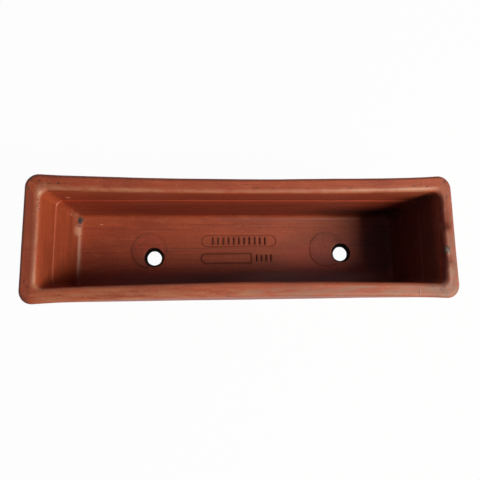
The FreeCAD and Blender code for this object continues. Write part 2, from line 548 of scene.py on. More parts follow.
@dataclass(frozen=True)
class DrainHole:
    """A hole punched through the floor with a tapered punch, widest at the top."""

    x: float
    y: float
    lean: float
    mouth_radius: float = 12.0
    throat_radius: float = 11.0
    lower_radius: float = 8.3
    lip: float = 1.2
    lower_round: float = 0.6
    margin: float = 1.2
    three_lobes: float = 0.012
    seven_lobes: float = 0.008
    # Painted shade down the bore and round its lower edge, and a painted highlight on the lip's left
    # side, which faces the lamps
    bore_shade: float = 1.0
    lower_bore_shade: float = 0.5
    lit_lip: float = 0.5
    block_cells: int = 22
    steps: int = 6
    lower_steps: int = 3

    def block(self, lattice: Lattice, outline: np.ndarray) -> tuple[int, int, int]:
        """Find the square block of a cap's cells that has this hole at its middle.

        Args:
            lattice: the cap's lattice.
            outline: the cap's edge.

        Returns:
            Its first column, its first row and its number of cells.
        """
        grid = lattice.cap(outline)
        apart = np.hypot(grid[:, :, 0] - self.x, grid[:, :, 1] - self.y)
        column, row = np.unravel_index(np.argmin(apart), apart.shape)
        half = self.block_cells // 2
        return int(column) - half, int(row) - half, self.block_cells

    def ring(self, radius: float, down: float) -> np.ndarray:
        """Points of a circle round the hole, which match the points round its block.

        Args:
            radius: the circle's radius.
            down: how far down the hole it lies, from 0 to 1.

        Returns:
            One row of x and y for each point.
        """
        half = self.block_cells // 2
        steps = np.arange(-half, half)
        sides = [(steps, np.full_like(steps, -half)), (np.full_like(steps, half), steps),
                 (-steps, np.full_like(steps, half)), (np.full_like(steps, -half), -steps)]
        angles = np.concatenate([np.arctan2(y, x) for x, y in sides])
        ragged = radius * (
            1 + self.three_lobes * np.sin(3 * angles + self.x) + self.seven_lobes * np.sin(7 * angles)
        )
        return np.column_stack([
            self.x + (down - 0.5) * self.lean + ragged * np.cos(angles),
            self.y + ragged * np.sin(angles),
        ])

    def cut(self, draft: Draft, upper: np.ndarray, lower: np.ndarray, top: float, bottom: float) -> None:
        """Line the hole from the open block above to the open block below.

        Args:
            draft: the trough's mesh.
            upper: point numbers round the block in the floor.
            lower: point numbers round the block in the underside.
            top: height of the floor.
            bottom: height of the underside.
        """
        levels = [(self.mouth_radius + self.margin, top, 0.0)]
        for turn in np.radians(np.linspace(0, 90, self.steps + 1)):
            inwards = (self.mouth_radius - self.throat_radius) * math.sin(turn)
            use = -self.bore_shade * math.sin(turn) ** 2
            levels.append((self.mouth_radius - inwards, top - self.lip * (1 - math.cos(turn)), use))
        shaft_top, shaft_bottom = top - self.lip, bottom + self.lower_round
        for share in np.linspace(0, 1, self.steps + 1)[1:]:
            radius = self.throat_radius + (self.lower_radius - self.throat_radius) * share
            levels.append((radius, shaft_top + (shaft_bottom - shaft_top) * share, -self.bore_shade))
        for turn in np.radians(np.linspace(0, 90, self.lower_steps + 1)[1:]):
            out = self.lower_round * (1 - math.cos(turn))
            level = shaft_bottom - self.lower_round * math.sin(turn)
            levels.append((self.lower_radius + out, level, -self.lower_bore_shade))
        levels.append((self.lower_radius + self.lower_round + self.margin, bottom, 0.0))
        rings = [upper]
        for radius, level, use in levels:
            outline = self.ring(radius, (top - level) / (top - bottom))
            # Painted highlight on the lip's left side
            lit_lip_share = self.lit_lip * np.clip((self.x - outline[:, 0]) / radius, 0, 1) ** 2
            rings.append(draft.add_ring(outline, level, use + lit_lip_share if level == top else use))
        draft.stack([*rings, lower])


@dataclass(frozen=True)
class RimExtra:
    """How much wider, or narrower where negative, the rim's top came out of the press on each side."""

    left: float = 0.5
    right: float = -2.4
    front: float = -0.8
    back: float = 0.3
    end_start: float = 120.0
    end_reach: float = 60.0
    side_share: float = 0.6

    def shift(self, outline: np.ndarray, half_y: float) -> np.ndarray:
        """Work out how far the rim's inner edge moves.

        Args:
            outline: one row of x and y for each point of it.
            half_y: half of the trough's width.

        Returns:
            One row of x and y moves for each point.
        """
        x, y = outline[:, 0], outline[:, 1]
        near_end = ramp(np.abs(x), self.end_start, self.end_reach) ** 2
        near_side = ramp(np.abs(y), 0, self.side_share * half_y)
        along = np.where(x < 0, self.left, -self.right) * near_end
        across = np.where(y < 0, self.front, -self.back) * near_side
        return np.column_stack([along, across])


@dataclass(frozen=True)
class TroughLevels:
    """Heights and half sizes of the trough, in millimetres."""

    half_x: float
    half_y: float
    top: float
    band_bottom: float
    wall_half_x: float
    base: float
    floor: float

    @classmethod
    def from_frame(cls, ring_height: float = 0.4) -> "TroughLevels":
        """Read them from the frame.

        Args:
            ring_height: how far the fine rings on the floor stand up from it.

        Returns:
            The levels.
        """
        rim_low, rim_high = corners_mm("front_rim", "back_rim", "left_rim", "right_rim")
        wall_low, wall_high = corners_mm("front_wall", "back_wall", "left_wall", "right_wall")
        floor = corners_mm("floor")[1].z - ring_height
        return cls(rim_high.x, rim_high.y, rim_high.z, rim_low.z, wall_high.x, wall_low.z, floor)


@dataclass(frozen=True, kw_only=True)
class Trough(ClayPiece):
    """The whole pressed body: rim band, walls, floor and base as one skin with no seams."""

    at: TroughLevels
    surface: ClaySurface
    holes: tuple[DrainHole, ...]
    rim_width: float = 14.2
    rim_extra: RimExtra = RimExtra()
    ledge_width: float = 1.0
    ledge_slope: Pair = (0.5, 0.6)
    ledge_rounds: Pair = (0.5, 0.7)
    lower_ledge_depth: float = 68.0
    lower_ledge_width: float = 0.4
    lower_ledge_slope: float = 0.6
    inner_draft: float = 0.01
    inner_corner: float = 7.0
    outer_corner: float = 12.0
    toe_corner: float = 3.5
    inner_round: float = 4.0
    outer_round: float = 3.0
    lip_round: float = 1.5
    under_lip_round: float = 0.8
    band_lean: float = 0.7
    base_round: float = 3.0
    wall_draft: float = 0.035
    cove: float = 6.0
    toe: float = 3.0
    front_bow: float = 3.2
    back_bow: float = 3.1
    corner_flare: float = 0.9
    flare_reach: float = 26.0
    # Faces whose use is below minus this take the black painted shade of the bore
    bore_shade_from: float = 0.6
    lattice: Lattice = Lattice(along=190, across=46, corner=14)
    # Longest step down the section: fine within this depth of the top, and coarse below it
    fine_depth: float = 12.0
    fine_step: float = 0.9
    coarse_step: float = 3.8
    # Burnishing, whose paler tone is also a painted highlight on the edges that face the lamps: how deep
    # it goes, and the inset and breadth of its two stripes
    burnish_depth: float = 5.0
    inner_stripe: Pair = (1.5, 2.2)
    outer_stripe: Pair = (1.0, 1.8)
    outer_gloss: float = 0.2
    shaded_side_burnish: float = 0.35
    # Strength of the painted shade on the right end's inner face, and of the soiling and painted shade
    # on the rim's outer edge
    right_end_shade: float = 0.55
    edge_dirt_and_shade: float = 0.45
    edge_darkening_depth: float = 6.0
    right_dirt: float = 0.6
    # Where each of them starts along its axis, and how far on it is full
    dull_shaded_front: Pair = (28.0, 12.0)
    dull_shaded_front_from_left: Pair = (-186.0, 8.0)
    dull_shaded_right: Pair = (172.0, 12.0)
    shade_right_from: Pair = (178.0, 5.0)
    shade_below_top: Pair = (7.0, 12.0)
    shade_back: Pair = (40.0, 12.0)
    dirt_and_shade_ends: Pair = (186.0, 8.0)

    def section(self) -> list[Triple]:
        """Work out the rings from the floor's edge, over the rim, to the base's edge.

        Returns:
            Inset, height and use of each ring.
        """
        at = self.at
        rim_depth = at.top - at.band_bottom
        lower_ledge = at.top - self.lower_ledge_depth
        ledge_inset = self.rim_width + rim_depth * self.inner_draft
        lower_inset = ledge_inset + self.ledge_width + (at.band_bottom - lower_ledge) * self.inner_draft
        floor_inset = lower_inset + self.lower_ledge_width + (lower_ledge - at.floor) * self.inner_draft
        wall_inset = at.half_x - at.wall_half_x
        base_inset = wall_inset + (at.band_bottom - at.base) * self.wall_draft
        lower_slope = self.lower_ledge_slope
        corners = [
            (floor_inset + self.cove + self.toe, at.floor, 0),
            (floor_inset, at.floor, self.cove),
            (lower_inset + self.lower_ledge_width, lower_ledge - lower_slope, lower_slope),
            (lower_inset, lower_ledge + lower_slope, lower_slope),
            (ledge_inset + self.ledge_width, at.band_bottom - self.ledge_slope[0], self.ledge_rounds[0]),
            (ledge_inset, at.band_bottom + self.ledge_slope[1], self.ledge_rounds[1]),
            (self.rim_width, at.top, self.inner_round),
            (0, at.top, self.outer_round),
            (self.band_lean, at.band_bottom, self.lip_round),
            (wall_inset, at.band_bottom, self.under_lip_round),
            (base_inset, at.base, self.base_round),
            (base_inset + self.base_round + self.toe, at.base, 0),
        ]
        inner_at, inner_breadth = self.inner_stripe
        outer_at, outer_breadth = self.outer_stripe
        rings = []
        for inset, level in rounded_section(corners, self.step_at):
            near_top = max(0.0, 1 - (at.top - level) / self.burnish_depth)
            on_inner_edge = math.exp(-((inset - self.rim_width + inner_at) / inner_breadth) ** 2)
            on_outer_edge = math.exp(-((inset - outer_at) / outer_breadth) ** 2)
            rings.append((inset, level, near_top * max(on_inner_edge, self.outer_gloss * on_outer_edge)))
        return rings

    def step_at(self, level: float) -> float:
        """Longest step to take down the section at a height."""
        return self.fine_step if level > self.at.top - self.fine_depth else self.coarse_step

    def build(self) -> bpy.types.Object:
        """Make the body's mesh.

        Returns:
            The object, with its use at each vertex for the finish to read.
        """
        draft = Draft()
        section = self.section()
        crown = max(number for number, ring in enumerate(section) if ring[1] > self.at.top - LEVEL_MM)
        outlines, rings = [], []
        for number, (inset, level, use) in enumerate(section):
            if number > crown:
                outline = self.bowed(inset, level, self.outer_radius(level))
                use = use - self.soiled_edge(outline, level)
            else:
                outline = self.inside(inset, level)
                use = use * self.burnish(outline) - self.damp_and_shade(outline, level)
            outlines.append(outline)
            rings.append(draft.add_ring(outline, level, use))
        draft.stack(rings)
        floor_blocks = [hole.block(self.lattice, outlines[0]) for hole in self.holes]
        base_blocks = [hole.block(self.lattice, outlines[-1]) for hole in self.holes]
        upper = draft.close(self.lattice, outlines[0], rings[0], self.at.floor, floor_blocks)
        lower = draft.close(self.lattice, outlines[-1], rings[-1], self.at.base, base_blocks)
        for hole, above, below in zip(self.holes, upper, lower):
            hole.cut(draft, above, below, self.at.floor, self.at.base)
        body = mesh_object(self.name, np.array(draft.points), draft.faces, draft.use)
        self.surface.roughen(body)
        return body

    def dress(self, clay: bpy.types.Material) -> bpy.types.Object:
        """Dress the body as every piece is, and give the inside of its drain holes a black finish of
        painted shade.

        Args:
            clay: the finish of all the rest.

        Returns:
            The body.
        """
        piece = super().dress(clay)
        mesh = piece.data
        mesh.materials.append(BorePaintedShade().material())
        use = np.empty(len(mesh.vertices), dtype=np.float32)
        mesh.attributes[USE_AND_LIGHT].data.foreach_get("value", use)
        for face in mesh.polygons:
            face.material_index = int(use[list(face.vertices)].max() < -self.bore_shade_from)
        return piece

    def burnish(self, outline: np.ndarray) -> np.ndarray:
        """How much of its burnishing and painted highlight the rim keeps: all at the back and the left,
        whose inner edges face the lamps, and less at the front and the right, whose inner edges face
        away from them.

        Args:
            outline: the points of one ring of the rim's top.

        Returns:
            The share that each point kept.
        """
        x, y = outline[:, 0], outline[:, 1]
        front = ramp(-y, *self.dull_shaded_front) * ramp(x, *self.dull_shaded_front_from_left)
        return 1 - (1 - self.shaded_side_burnish) * np.maximum(front, ramp(x, *self.dull_shaded_right))

    def damp_and_shade(self, outline: np.ndarray, level: float) -> np.ndarray:
        """Painted shade that darkens the right end's inner face.

        Args:
            outline: the points of one ring of the inner face.
            level: its height.

        Returns:
            How dark each point is, from 0 to 1.
        """
        start, reach = self.shade_below_top
        below_rim = ramp(self.at.top - start - level, 0, reach)
        return self.right_end_shade * below_rim * ramp(outline[:, 0], *self.shade_right_from)

    def soiled_edge(self, outline: np.ndarray, level: float) -> np.ndarray:
        """Darkening of the rim's outer edge: painted shade at its back and its left end, which face away
        from the lamps, and soiling from handling at its right end.

        Args:
            outline: the points of one ring of the outer face.
            level: its height.

        Returns:
            How dark each point is, from 0 to 1.
        """
        x, y = outline[:, 0], outline[:, 1]
        back, left = ramp(y, *self.shade_back), ramp(-x, *self.dirt_and_shade_ends)
        right = self.right_dirt * ramp(x, *self.dirt_and_shade_ends)
        depth = (self.at.top - level) / self.edge_darkening_depth
        return self.edge_dirt_and_shade * math.exp(-depth**2) * np.maximum(back, np.maximum(left, right))

    def outer_radius(self, level: float) -> float:
        """Radius of the outer corners at a height, which tightens round the base's edge."""
        return self.outer_corner - max(0.0, self.at.base + self.base_round - level)

    def inside(self, inset: float, level: float) -> np.ndarray:
        """Outline of one ring of the rim's top or the inner face.

        Args:
            inset: how far it lies inside the widest outline.
            level: its height.

        Returns:
            The points round it.
        """
        at = self.at
        over_rim = max(1 - inset / self.rim_width, 0)
        radius = self.inner_corner + (self.outer_corner - self.inner_corner) * over_rim
        cove_top = at.floor + self.cove
        if level < cove_top:
            radius += (self.toe_corner - self.inner_corner) * (cove_top - level) / self.cove
        outline = self.bowed(inset, level, radius)
        below_top = (at.top - level) / (at.top - at.band_bottom)
        share = min(inset / self.rim_width, 1.0) * max(0.0, 1 - below_top)
        return outline + share * self.rim_extra.shift(outline, at.half_y)

    def bowed(self, inset: float, level: float, radius: float) -> np.ndarray:
        """Outline whose long sides bow inwards towards the rim's top, and flare at their ends.

        Args:
            inset: how far it lies inside the widest outline.
            level: its height.
            radius: radius of its corners.

        Returns:
            The points round it.
        """
        at = self.at
        rise = float(ramp(level, at.band_bottom, at.top - at.band_bottom))
        bows = (self.front_bow * rise, self.back_bow * rise)
        outline = self.lattice.outline(at.half_x - inset, at.half_y - inset, radius, bows)
        from_end = (at.half_x - np.abs(outline[:, 0])) / self.flare_reach
        across = np.clip(outline[:, 1] / at.half_y, -1, 1)
        outline[:, 1] += self.corner_flare * rise * np.exp(-from_end**2) * across**3
        return outline


@dataclass(frozen=True, kw_only=True)
class FootBar(ClayPiece):
    """One low bar across the underside, flared where it grows out of the base."""

    corner: float = 5.0
    lower_round: float = 1.0
    flare: float = 1.2
    sunk: float = 0.5
    least_corner: float = 1.0
    lower_steps: int = 4
    flare_steps: int = 5
    lattice: Lattice = Lattice(along=14, across=40, corner=8)

    def build(self) -> bpy.types.Object:
        """Make the bar's mesh, with its top let a little way into the base.

        Returns:
            The bar, where its node is.
        """
        low, high = corners_mm(*self.nodes)
        middle, half = (low + high) / 2, (high - low) / 2
        levels = []
        for turn in np.radians(np.linspace(0, 90, self.lower_steps + 1)):
            level = low.z + self.lower_round * (1 - math.cos(turn))
            levels.append((self.lower_round * (1 - math.sin(turn)), level))
        for turn in np.radians(np.linspace(0, 90, self.flare_steps + 1)[1:]):
            level = high.z - self.flare * (1 - math.sin(turn))
            levels.append((self.flare * (math.cos(turn) - 1), level))
        levels.append((-self.flare, high.z + self.sunk))
        draft = Draft()
        outlines = []
        for inset, _ in levels:
            corner = max(self.corner - inset, self.least_corner)
            outlines.append(self.lattice.outline(half.x - inset, half.y - inset, corner) + middle.xy)
        rings = [draft.add_ring(outline, level) for outline, (_, level) in zip(outlines, levels)]
        draft.stack(rings)
        draft.close(self.lattice, outlines[0], rings[0], levels[0][1])
        draft.close(self.lattice, outlines[-1], rings[-1], levels[-1][1])
        return mesh_object(self.name, np.array(draft.points), draft.faces)


# ---- Raised lines on the floor ----


# Points, faces and each point's use
Strip = tuple[np.ndarray, list[Face], np.ndarray]


@dataclass(frozen=True)
class Ridge:
    """A thin raised line of clay that stands on the uneven floor, with soft sides."""

    width: float
    height: float
    floor: float
    surface: ClaySurface
    # How dark the ridge is made, most at its feet
    dirt_and_shade: float = 0.6
    crest_dirt_and_shade: float = 0.6
    fullness: float = 0.8
    sides: int = 8
    sunk: float = 0.25

    def along(
        self, path: np.ndarray, closed: bool, strength: Callable[[float], float] = lambda share: 1.0
    ) -> Strip:
        """Sweep the ridge's section along a path on the floor.

        Args:
            path: the points that it follows, one row of x and y each.
            closed: whether its end meets its start.
            strength: the ridge's height as a share of its full height, by share of the path.

        Returns:
            The points, the faces and the use of a closed mesh, darkened across its width and most at its
            feet.
        """
        count = len(path)
        ahead = np.roll(path, -1, axis=0) - path
        behind = path - np.roll(path, 1, axis=0)
        if not closed:
            ahead[-1], behind[0] = behind[-1], ahead[0]
        heading = sum(step / np.linalg.norm(step, axis=1)[:, None] for step in (ahead, behind))
        heading /= np.linalg.norm(heading, axis=1)[:, None]
        across = np.column_stack([-heading[:, 1], heading[:, 0]])
        offsets = np.append(np.arange(self.sides + 1) / self.sides - 0.5, [0.5, -0.5])
        rises = np.append(np.cos(np.pi * offsets[:-2]).clip(0) ** self.fullness, [0, 0])
        shares = np.array([strength(number / count) for number in range(count)])
        ring = len(offsets)
        plan = path[:, None] + across[:, None] * offsets[None, :, None] * self.width
        points = np.concatenate([plan, np.full((count, ring, 1), self.floor)], axis=2).reshape(-1, 3)
        ground = self.surface.unevenness(points).reshape(count, ring)
        ground[:, -2:] = -self.sunk
        points[:, 2] += (ground + self.height * shares[:, None] * rises[None, :]).ravel()
        faces = []
        for number in range(count if closed else count - 1):
            following = (number + 1) % count
            for side in range(ring):
                other = (side + 1) % ring
                faces.append((number * ring + side, number * ring + other,
                              following * ring + other, following * ring + side))
        if not closed:
            faces.append(tuple(range(ring)))
            faces.append(tuple(range((count - 1) * ring, count * ring)))
        soiled = self.crest_dirt_and_shade + (1 - self.crest_dirt_and_shade) * np.abs(2 * offsets)
        return points, faces, -self.dirt_and_shade * (shares[:, None] * soiled[None, :]).ravel()


def joined(strips: list[Strip]) -> Strip:
    """Put several separate strips into one.

    Args:
        strips: the strips.

    Returns:
        All of them, with their faces' point numbers moved on.
    """
    faces, first = [], 0
    for points, strip_faces, _ in strips:
        faces.extend(tuple(first + number for number in face) for face in strip_faces)
        first += len(points)
    points, use = (np.concatenate([strip[part] for strip in strips]) for part in (0, 2))
    return points, faces, use


@dataclass(frozen=True, kw_only=True)
class DiscRing(ClayPiece):
    """The fine raised ring that the press's round insert leaves on the floor beside a hole."""

    middle: Pair
    hole: DrainHole
    ridge: Ridge
    radius: float = 20.2
    step_degrees: float = 2.0
    faint_side: float = 45.0
    mean_strength: float = 0.6
    swing: float = 0.4

    def build(self) -> bpy.types.Object:
        """Make the ring's mesh, left out where the hole has taken it away.

        Returns:
            The ring, strong on one side and faint on the other.
        """
        degrees = np.arange(0, 360, self.step_degrees)
        around = np.radians(degrees)
        circle = np.column_stack([
            self.middle[0] + self.radius * np.cos(around),
            self.middle[1] + self.radius * np.sin(around),
        ])
        clear = self.hole.mouth_radius + self.ridge.width
        kept = np.hypot(circle[:, 0] - self.hole.x, circle[:, 1] - self.hole.y) > clear
        closed = bool(kept.all())
        if not closed:
            first = next(i for i in range(len(kept)) if kept[i] and not kept[i - 1])
            degrees, circle, kept = (
                np.roll(values, -first, axis=0) for values in (degrees, circle, kept)
            )
            degrees, circle = degrees[kept], circle[kept]

        def strength(share: float) -> float:
            """Height of the ring at a share of its way round, faint on one side."""
            turn = math.radians(degrees[int(share * len(degrees))] - self.faint_side)
            return self.mean_strength - self.swing * math.cos(turn)

        return mesh_object(self.name, *self.ridge.along(circle, closed, strength))


class MarkEnd(Enum):
    """How a pressed outline ends."""

    ROUND = "round"
    SQUARE = "square"


@dataclass(frozen=True)
class BarRow:
    """A row of plain raised bars: how many, how far apart, how long, and where the last one is."""

    count: int
    pitch: float
    length: float
    ends_at_mark_end: bool


@dataclass(frozen=True, kw_only=True)
class FloorMark(ClayPiece):
    """A pressed outline on the floor with a row of plain bars, in it or after it."""

    outline_length: float
    left_end: MarkEnd
    right_end: MarkEnd
    bars: BarRow
    line: Ridge
    bar: Ridge
    soft_corner: float = 0.8
    step: float = 1.5
    arc_degrees: int = 10
    # A bar's points, its height at an end, how steeply it rises, and the last point's share of it
    bar_points: int = 9
    end_strength: float = 0.35
    end_slope: float = 6.0
    last_share: float = 0.89

    def outline_path(self, low: Vector, high: Vector) -> np.ndarray:
        """Middle line of the outline's ridge.

        Args:
            low: lowest corner of the whole mark.
            high: highest corner of the whole mark.

        Returns:
            The points of the closed path.
        """
        inset, soft = self.line.width / 2, self.soft_corner
        half_y, middle_y = (high.y - low.y) / 2 - inset, (high.y + low.y) / 2
        left, right = low.x + inset, low.x + self.outline_length - inset
        points: list[Pair] = []
        for x, sign, end in ((right, 1, self.right_end), (left, -1, self.left_end)):
            if end is MarkEnd.ROUND:
                for turn in np.radians(np.arange(-90, 91, self.arc_degrees)):
                    back = half_y * (1 - math.cos(turn))
                    points.append((x - sign * back, sign * half_y * math.sin(turn)))
            else:
                points += [(x - sign * soft, -sign * half_y), (x, -sign * (half_y - soft)),
                           (x, sign * (half_y - soft)), (x - sign * soft, sign * half_y)]
        fine: list[Pair] = []
        for start, end in zip(points, points[1:] + points[:1]):
            steps = max(1, round(math.dist(start, end) / self.step))
            fine += [(start[0] + (end[0] - start[0]) * step / steps,
                      start[1] + (end[1] - start[1]) * step / steps + middle_y) for step in range(steps)]
        return np.array(fine)

    def build(self) -> bpy.types.Object:
        """Make the mark's mesh where the frame has it.

        Returns:
            The outline and bars as one object.
        """
        low, high = corners_mm(*self.nodes)
        bars, middle = self.bars, (low + high) / 2
        parts = [self.line.along(self.outline_path(low, high), True)]
        last = middle.x + (bars.count - 1) / 2 * bars.pitch
        if bars.ends_at_mark_end:
            last = high.x - self.bar.width / 2
        y = np.linspace(middle.y - bars.length / 2, middle.y + bars.length / 2, self.bar_points)
        for number in range(bars.count):
            path = np.column_stack([np.full_like(y, last - number * bars.pitch), y])
            parts.append(self.bar.along(path, False, self.bar_strength))
        return mesh_object(self.name, *joined(parts))

    def bar_strength(self, share: float) -> float:
        """Height of a bar at a share of its length, lower at both ends."""
        return min(1.0, self.end_strength + self.end_slope * min(share, self.last_share - share))


# ---- Finishes ----


@dataclass(frozen=True)
class Veil:
    """One tone laid over the clay where a blotchy pattern is strong."""

    colour: str
    blotch_mm: Triple
    starts: float
    full: float
    strength: float
    relief: float = 0.0
    detail: float = 3.0
    roughness: float = 0.6


@dataclass(frozen=True)
class Specks:
    """Small round spots of another tone, a few in each patch of clay."""

    colour: str
    spacing_mm: float
    radius_mm: float
    chosen: float
    strength: float
    relief: float


@dataclass(frozen=True)
class Spot:
    """One stain, scuff, chip or pit, or a patch of painted shade, sheen or highlight, at a place of its
    own, with a ragged soft edge.

    Its grain, where it has one, is the size of the blotches or streaks that break it up.
    """

    place: Triple
    reach: Triple
    colour: str
    strength: float
    ragged_mm: float = 0.6
    core: float = 0.35
    grain_mm: Triple | None = None
    dull: float = 0.0


@dataclass(frozen=True)
class PressedTerracotta:
    """Red earthenware, pressed in a die, smoothed by hand while wet and fired unglazed.

    The eye sees a matt brown-red, softly glossed by burnishing in places, mottled and streaked along the
    press's stroke, paler and smoother where edges were wiped, a paleness that is also a painted
    highlight on edges that face the lamps, with fine grit, small pits and dark specks.
    """

    body: str = "#953E20"
    # Pale tone of wiped edges, which is also a painted highlight where the edges face the lamps
    burnished: str = "#9C664A"
    veils: tuple[Veil, ...] = (
        # Tone that wanders over a hand's width, from the kiln
        Veil("#7E311B", (60, 45, 45), 0.40, 0.68, 0.75),
        # Clouds of paler clay where the slip lies thicker
        Veil("#A54F2C", (16, 9, 9), 0.48, 0.78, 0.55, relief=1.0, detail=4.0),
        # Drag streaks of the press and the wiping sponge, along the trough
        Veil("#6E2815", (120, 2.6, 2.6), 0.48, 0.70, 0.5, relief=0.5),
        Veil("#B05C38", (70, 1.6, 1.6), 0.52, 0.74, 0.45, relief=0.4),
        # Grog and grit, drawn at three times their real 0.6 mm so that they show
        Veil("#BC8064", (1.8, 1.8, 1.8), 0.54, 0.74, 0.35, relief=0.35, roughness=0.7),
        Veil("#5E2416", (2.6, 2.2, 2.2), 0.56, 0.74, 0.35, relief=-0.3, roughness=0.7),
    )
    cloud_veil: int = 1
    specks: tuple[Specks, ...] = (
        Specks("#3A1B14", 6.0, 0.45, 0.14, 0.85, -0.8),
        Specks("#3A1B14", 17.0, 0.8, 0.22, 0.8, -1.0),
        Specks("#C48A6C", 11.0, 0.5, 0.2, 0.6, 0.2),
    )
    spots: tuple[Spot, ...] = ()
    # Dark colour of soiling and of painted shade: the drain holes, the right end's inner face, the rim's
    # back and left edge, and the raised lines
    dirt_and_shade: str = "#120907"
    ends_from_mm: float = 181.0
    mitre_from_mm: float = 142.0
    wander_mm: float = 3.0
    wander_detail: float = 3.0
    ior: float = 1.5
    roughness: float = 0.5
    burnished_roughness: float = 0.38
    patchiness: float = 0.12
    worn_from: float = 0.3
    worn_full: float = 0.55
    speck_softness: float = 0.5
    grain_from: float = 0.38
    grain_full: float = 0.62
    grain_detail: float = 4.0
    grain_roughness: float = 0.6
    bump_strength: float = 0.4
    bump_mm: float = 0.3

    def material(self) -> bpy.types.Material:
        """Build the material.

        Returns:
            The material, which places every pattern in the object's own millimetres.
        """
        made = bpy.data.materials.new("pressed_terracotta")
        tree = fresh_tree(made)
        place = add_node(tree, "TexCoord").outputs["Object"]
        colour, height, cloud = self.veiled(tree, self.along_strokes(tree, place))
        use = add_node(tree, "Attribute", attribute_name=USE_AND_LIGHT).outputs["Fac"]
        # Positive use: burnishing with its painted highlight; negative use: soiling and painted shade
        burnished = add_node(tree, "MapRange", {"Value": use}).outputs[0]
        soiled = add_node(tree, "MapRange", {"Value": use, "From Max": -1.0}).outputs[0]
        worn_and_lit = add_node(tree, "Math", {
            0: burnished,
            1: add_node(tree, "MapRange", {
                "Value": cloud, "From Min": self.worn_from, "From Max": self.worn_full,
            }),
        }, operation="MULTIPLY").outputs[0]
        colour = add_node(tree, "Mix", {
            0: worn_and_lit, 6: colour, 7: linear(self.burnished),
        }, data_type="RGBA").outputs[2]
        colour, height = self.speckled(tree, place, colour, height)
        colour = add_node(tree, "Mix", {
            0: soiled, 6: colour, 7: linear(self.dirt_and_shade),
        }, data_type="RGBA").outputs[2]
        colour, dull = self.spotted(tree, place, colour, soiled)
        smooth = add_node(tree, "MapRange", {
            "Value": worn_and_lit, "To Min": self.roughness, "To Max": self.burnished_roughness,
        }).outputs[0]
        patchy = add_node(tree, "Math", {
            0: cloud, 1: self.patchiness, 2: smooth,
        }, operation="MULTIPLY_ADD").outputs[0]
        rough = add_node(tree, "MapRange", {"Value": dull, "To Min": patchy, "To Max": 1.0}).outputs[0]
        bump = add_node(tree, "Bump", {
            "Strength": self.bump_strength, "Distance": self.bump_mm * MM, "Height": height,
        })
        shader = add_node(tree, "BsdfPrincipled", {
            "Base Color": colour, "Roughness": rough, "IOR": self.ior, "Normal": bump,
        })
        add_node(tree, "OutputMaterial", {"Surface": shader})
        return made

    def along_strokes(self, tree: Tree, place: Socket) -> Socket:
        """Turn the streaks crosswise on the two ends, where the clay was wiped that way.

        Args:
            tree: the material's nodes.
            place: the point on the object.

        Returns:
            The point, with x and y exchanged on the ends.
        """
        axes = add_node(tree, "SeparateXYZ", {0: place}).outputs
        along, across = (
            add_node(tree, "Math", {0: axes[axis]}, operation="ABSOLUTE").outputs[0] for axis in "XY"
        )
        beyond_mitre = add_node(tree, "Math", {0: along, 1: across}, operation="SUBTRACT").outputs[0]
        tests = [
            add_node(tree, "Math", {0: value, 1: limit * MM}, operation="GREATER_THAN").outputs[0]
            for value, limit in ((along, self.ends_from_mm), (beyond_mitre, self.mitre_from_mm))
        ]
        on_end = add_node(tree, "Math", {0: tests[0], 1: tests[1]}, operation="MULTIPLY").outputs[0]
        turned = add_node(tree, "CombineXYZ", {0: axes["Y"], 1: axes["X"], 2: axes["Z"]}).outputs[0]
        return add_node(tree, "Mix", {0: on_end, 4: place, 5: turned}, data_type="VECTOR").outputs[1]

    def veiled(self, tree: Tree, place: Socket) -> tuple[Socket, Socket, Socket]:
        """Lay every veil over the body colour.

        Args:
            tree: the material's nodes.
            place: the point on the object.

        Returns:
            The colour, the height for the bump, and the pattern of the paler clouds.
        """
        colour: Any = linear(self.body)
        height: Any = 0.0
        patterns = []
        for veil in self.veils:
            pattern = blotches(tree, place, veil.blotch_mm, veil.detail, veil.roughness)
            share = add_node(tree, "MapRange", {
                "Value": pattern, "From Min": veil.starts, "From Max": veil.full,
                "To Max": veil.strength,
            }, interpolation_type="SMOOTHSTEP")
            colour = add_node(tree, "Mix", {
                0: share, 6: colour, 7: linear(veil.colour),
            }, data_type="RGBA").outputs[2]
            height = add_node(tree, "Math", {
                0: pattern, 1: veil.relief, 2: height,
            }, operation="MULTIPLY_ADD").outputs[0]
            patterns.append(pattern)
        return colour, height, patterns[self.cloud_veil]

    def speckled(
        self, tree: Tree, place: Socket,
        colour: Socket, height: Socket,
    ) -> tuple[Socket, Socket]:
        """Scatter every kind of speck over the clay.

        Args:
            tree: the material's nodes.
            place: the point on the object.
            colour: the colour so far.
            height: the bump's height so far.

        Returns:
            The new colour and the new height.
        """
        for specks in self.specks:
            cells = add_node(tree, "TexVoronoi", {
                "Vector": place, "Scale": 1 / (specks.spacing_mm * MM),
            })
            radius = specks.radius_mm / specks.spacing_mm
            near = add_node(tree, "MapRange", {
                "Value": cells.outputs["Distance"], "To Min": specks.strength, "To Max": 0.0,
                "From Min": (1 - self.speck_softness) * radius,
                "From Max": (1 + self.speck_softness) * radius,
            }, interpolation_type="SMOOTHSTEP").outputs[0]
            lot = add_node(tree, "SeparateColor", {0: cells.outputs["Color"]}).outputs[0]
            chosen = add_node(tree, "Math", {0: lot, 1: specks.chosen}, operation="LESS_THAN").outputs[0]
            amount = add_node(tree, "Math", {0: near, 1: chosen}, operation="MULTIPLY").outputs[0]
            colour = add_node(tree, "Mix", {
                0: amount, 6: colour, 7: linear(specks.colour),
            }, data_type="RGBA").outputs[2]
            height = add_node(tree, "Math", {
                0: amount, 1: specks.relief, 2: height,
            }, operation="MULTIPLY_ADD").outputs[0]
        return colour, height

